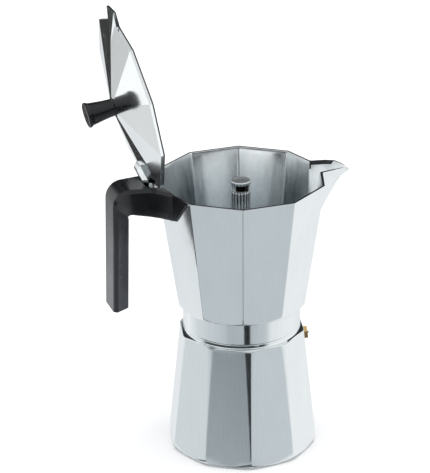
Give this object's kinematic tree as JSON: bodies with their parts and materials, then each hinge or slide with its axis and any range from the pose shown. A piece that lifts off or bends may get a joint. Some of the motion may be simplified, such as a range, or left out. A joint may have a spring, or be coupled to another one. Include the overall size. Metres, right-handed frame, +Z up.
{
  "type": "moka pot",
  "caption": "Ten-sided stove-top moka pot with boiler, funnel, collector, pouring spout, hinged lid, side handle and safety valve.",
  "frame": {"origin": "centre of the flat base, on the stove", "axes": "+Z up along the pot's axis; +X towards the pouring spout; the handle and the lid hinge are on -X"},
  "size_m": [0.1908, 0.1152, 0.3324],
  "materials": {
    "cast_aluminium": "polished and lightly brushed casting",
    "spun_aluminium": "satin spun sheet",
    "black_plastic": "satin moulded phenolic",
    "brass": "turned",
    "steel": "bright zinc plated",
    "rubber": "soft ivory food-grade rubber"
  },
  "bodies": {
    "boiler_body": {"boiler": "cast_aluminium", "valve_body": "brass", "valve_spring": "steel", "valve_retainer": "brass", "funnel": "spun_aluminium", "funnel_plate": "spun_aluminium"},
    "seal_body": {"gasket": "rubber", "filter_plate": "spun_aluminium"},
    "collector_body": {"collector": "cast_aluminium", "column": "cast_aluminium", "column_cap": "cast_aluminium", "handle": "black_plastic", "handle_screw": "steel", "hinge_pin": "steel"},
    "lid_body": {"lid": "cast_aluminium", "knob": "black_plastic", "knob_insert": "brass", "knob_screw": "steel"},
    "valve_pin_body": {"valve_pin": "steel", "valve_seal": "rubber"}
  },
  "joints": [
    {"name": "collector_rise", "type": "slide", "parent": "boiler_body", "child": "seal_body", "axis": [0, 0, 1], "range_m": [0, 0.009]},
    {"name": "collector_turn", "type": "hinge", "parent": "seal_body", "child": "collector_body", "pos_m": [0, 0, 0.1], "axis": [0, 0, 1], "range_deg": [0, 1080]},
    {"name": "lid_hinge", "type": "hinge", "parent": "collector_body", "child": "lid_body", "pos_m": [-0.0647, 0, 0.2029], "axis": [0, 1, 0], "range_deg": [0, 100.9]},
    {"name": "valve_slide", "type": "slide", "parent": "boiler_body", "child": "valve_pin_body", "axis": [0.9711, -0.218, 0.0971], "range_m": [0, 0.0012], "stiffness_N_per_m": 400, "springref_m": -0.0004, "deforming": ["valve_spring"]}
  ],
  "couplings": [
    {"joint": "collector_rise", "follows": "collector_turn", "m_per_rad": 0.00047746}
  ]
}
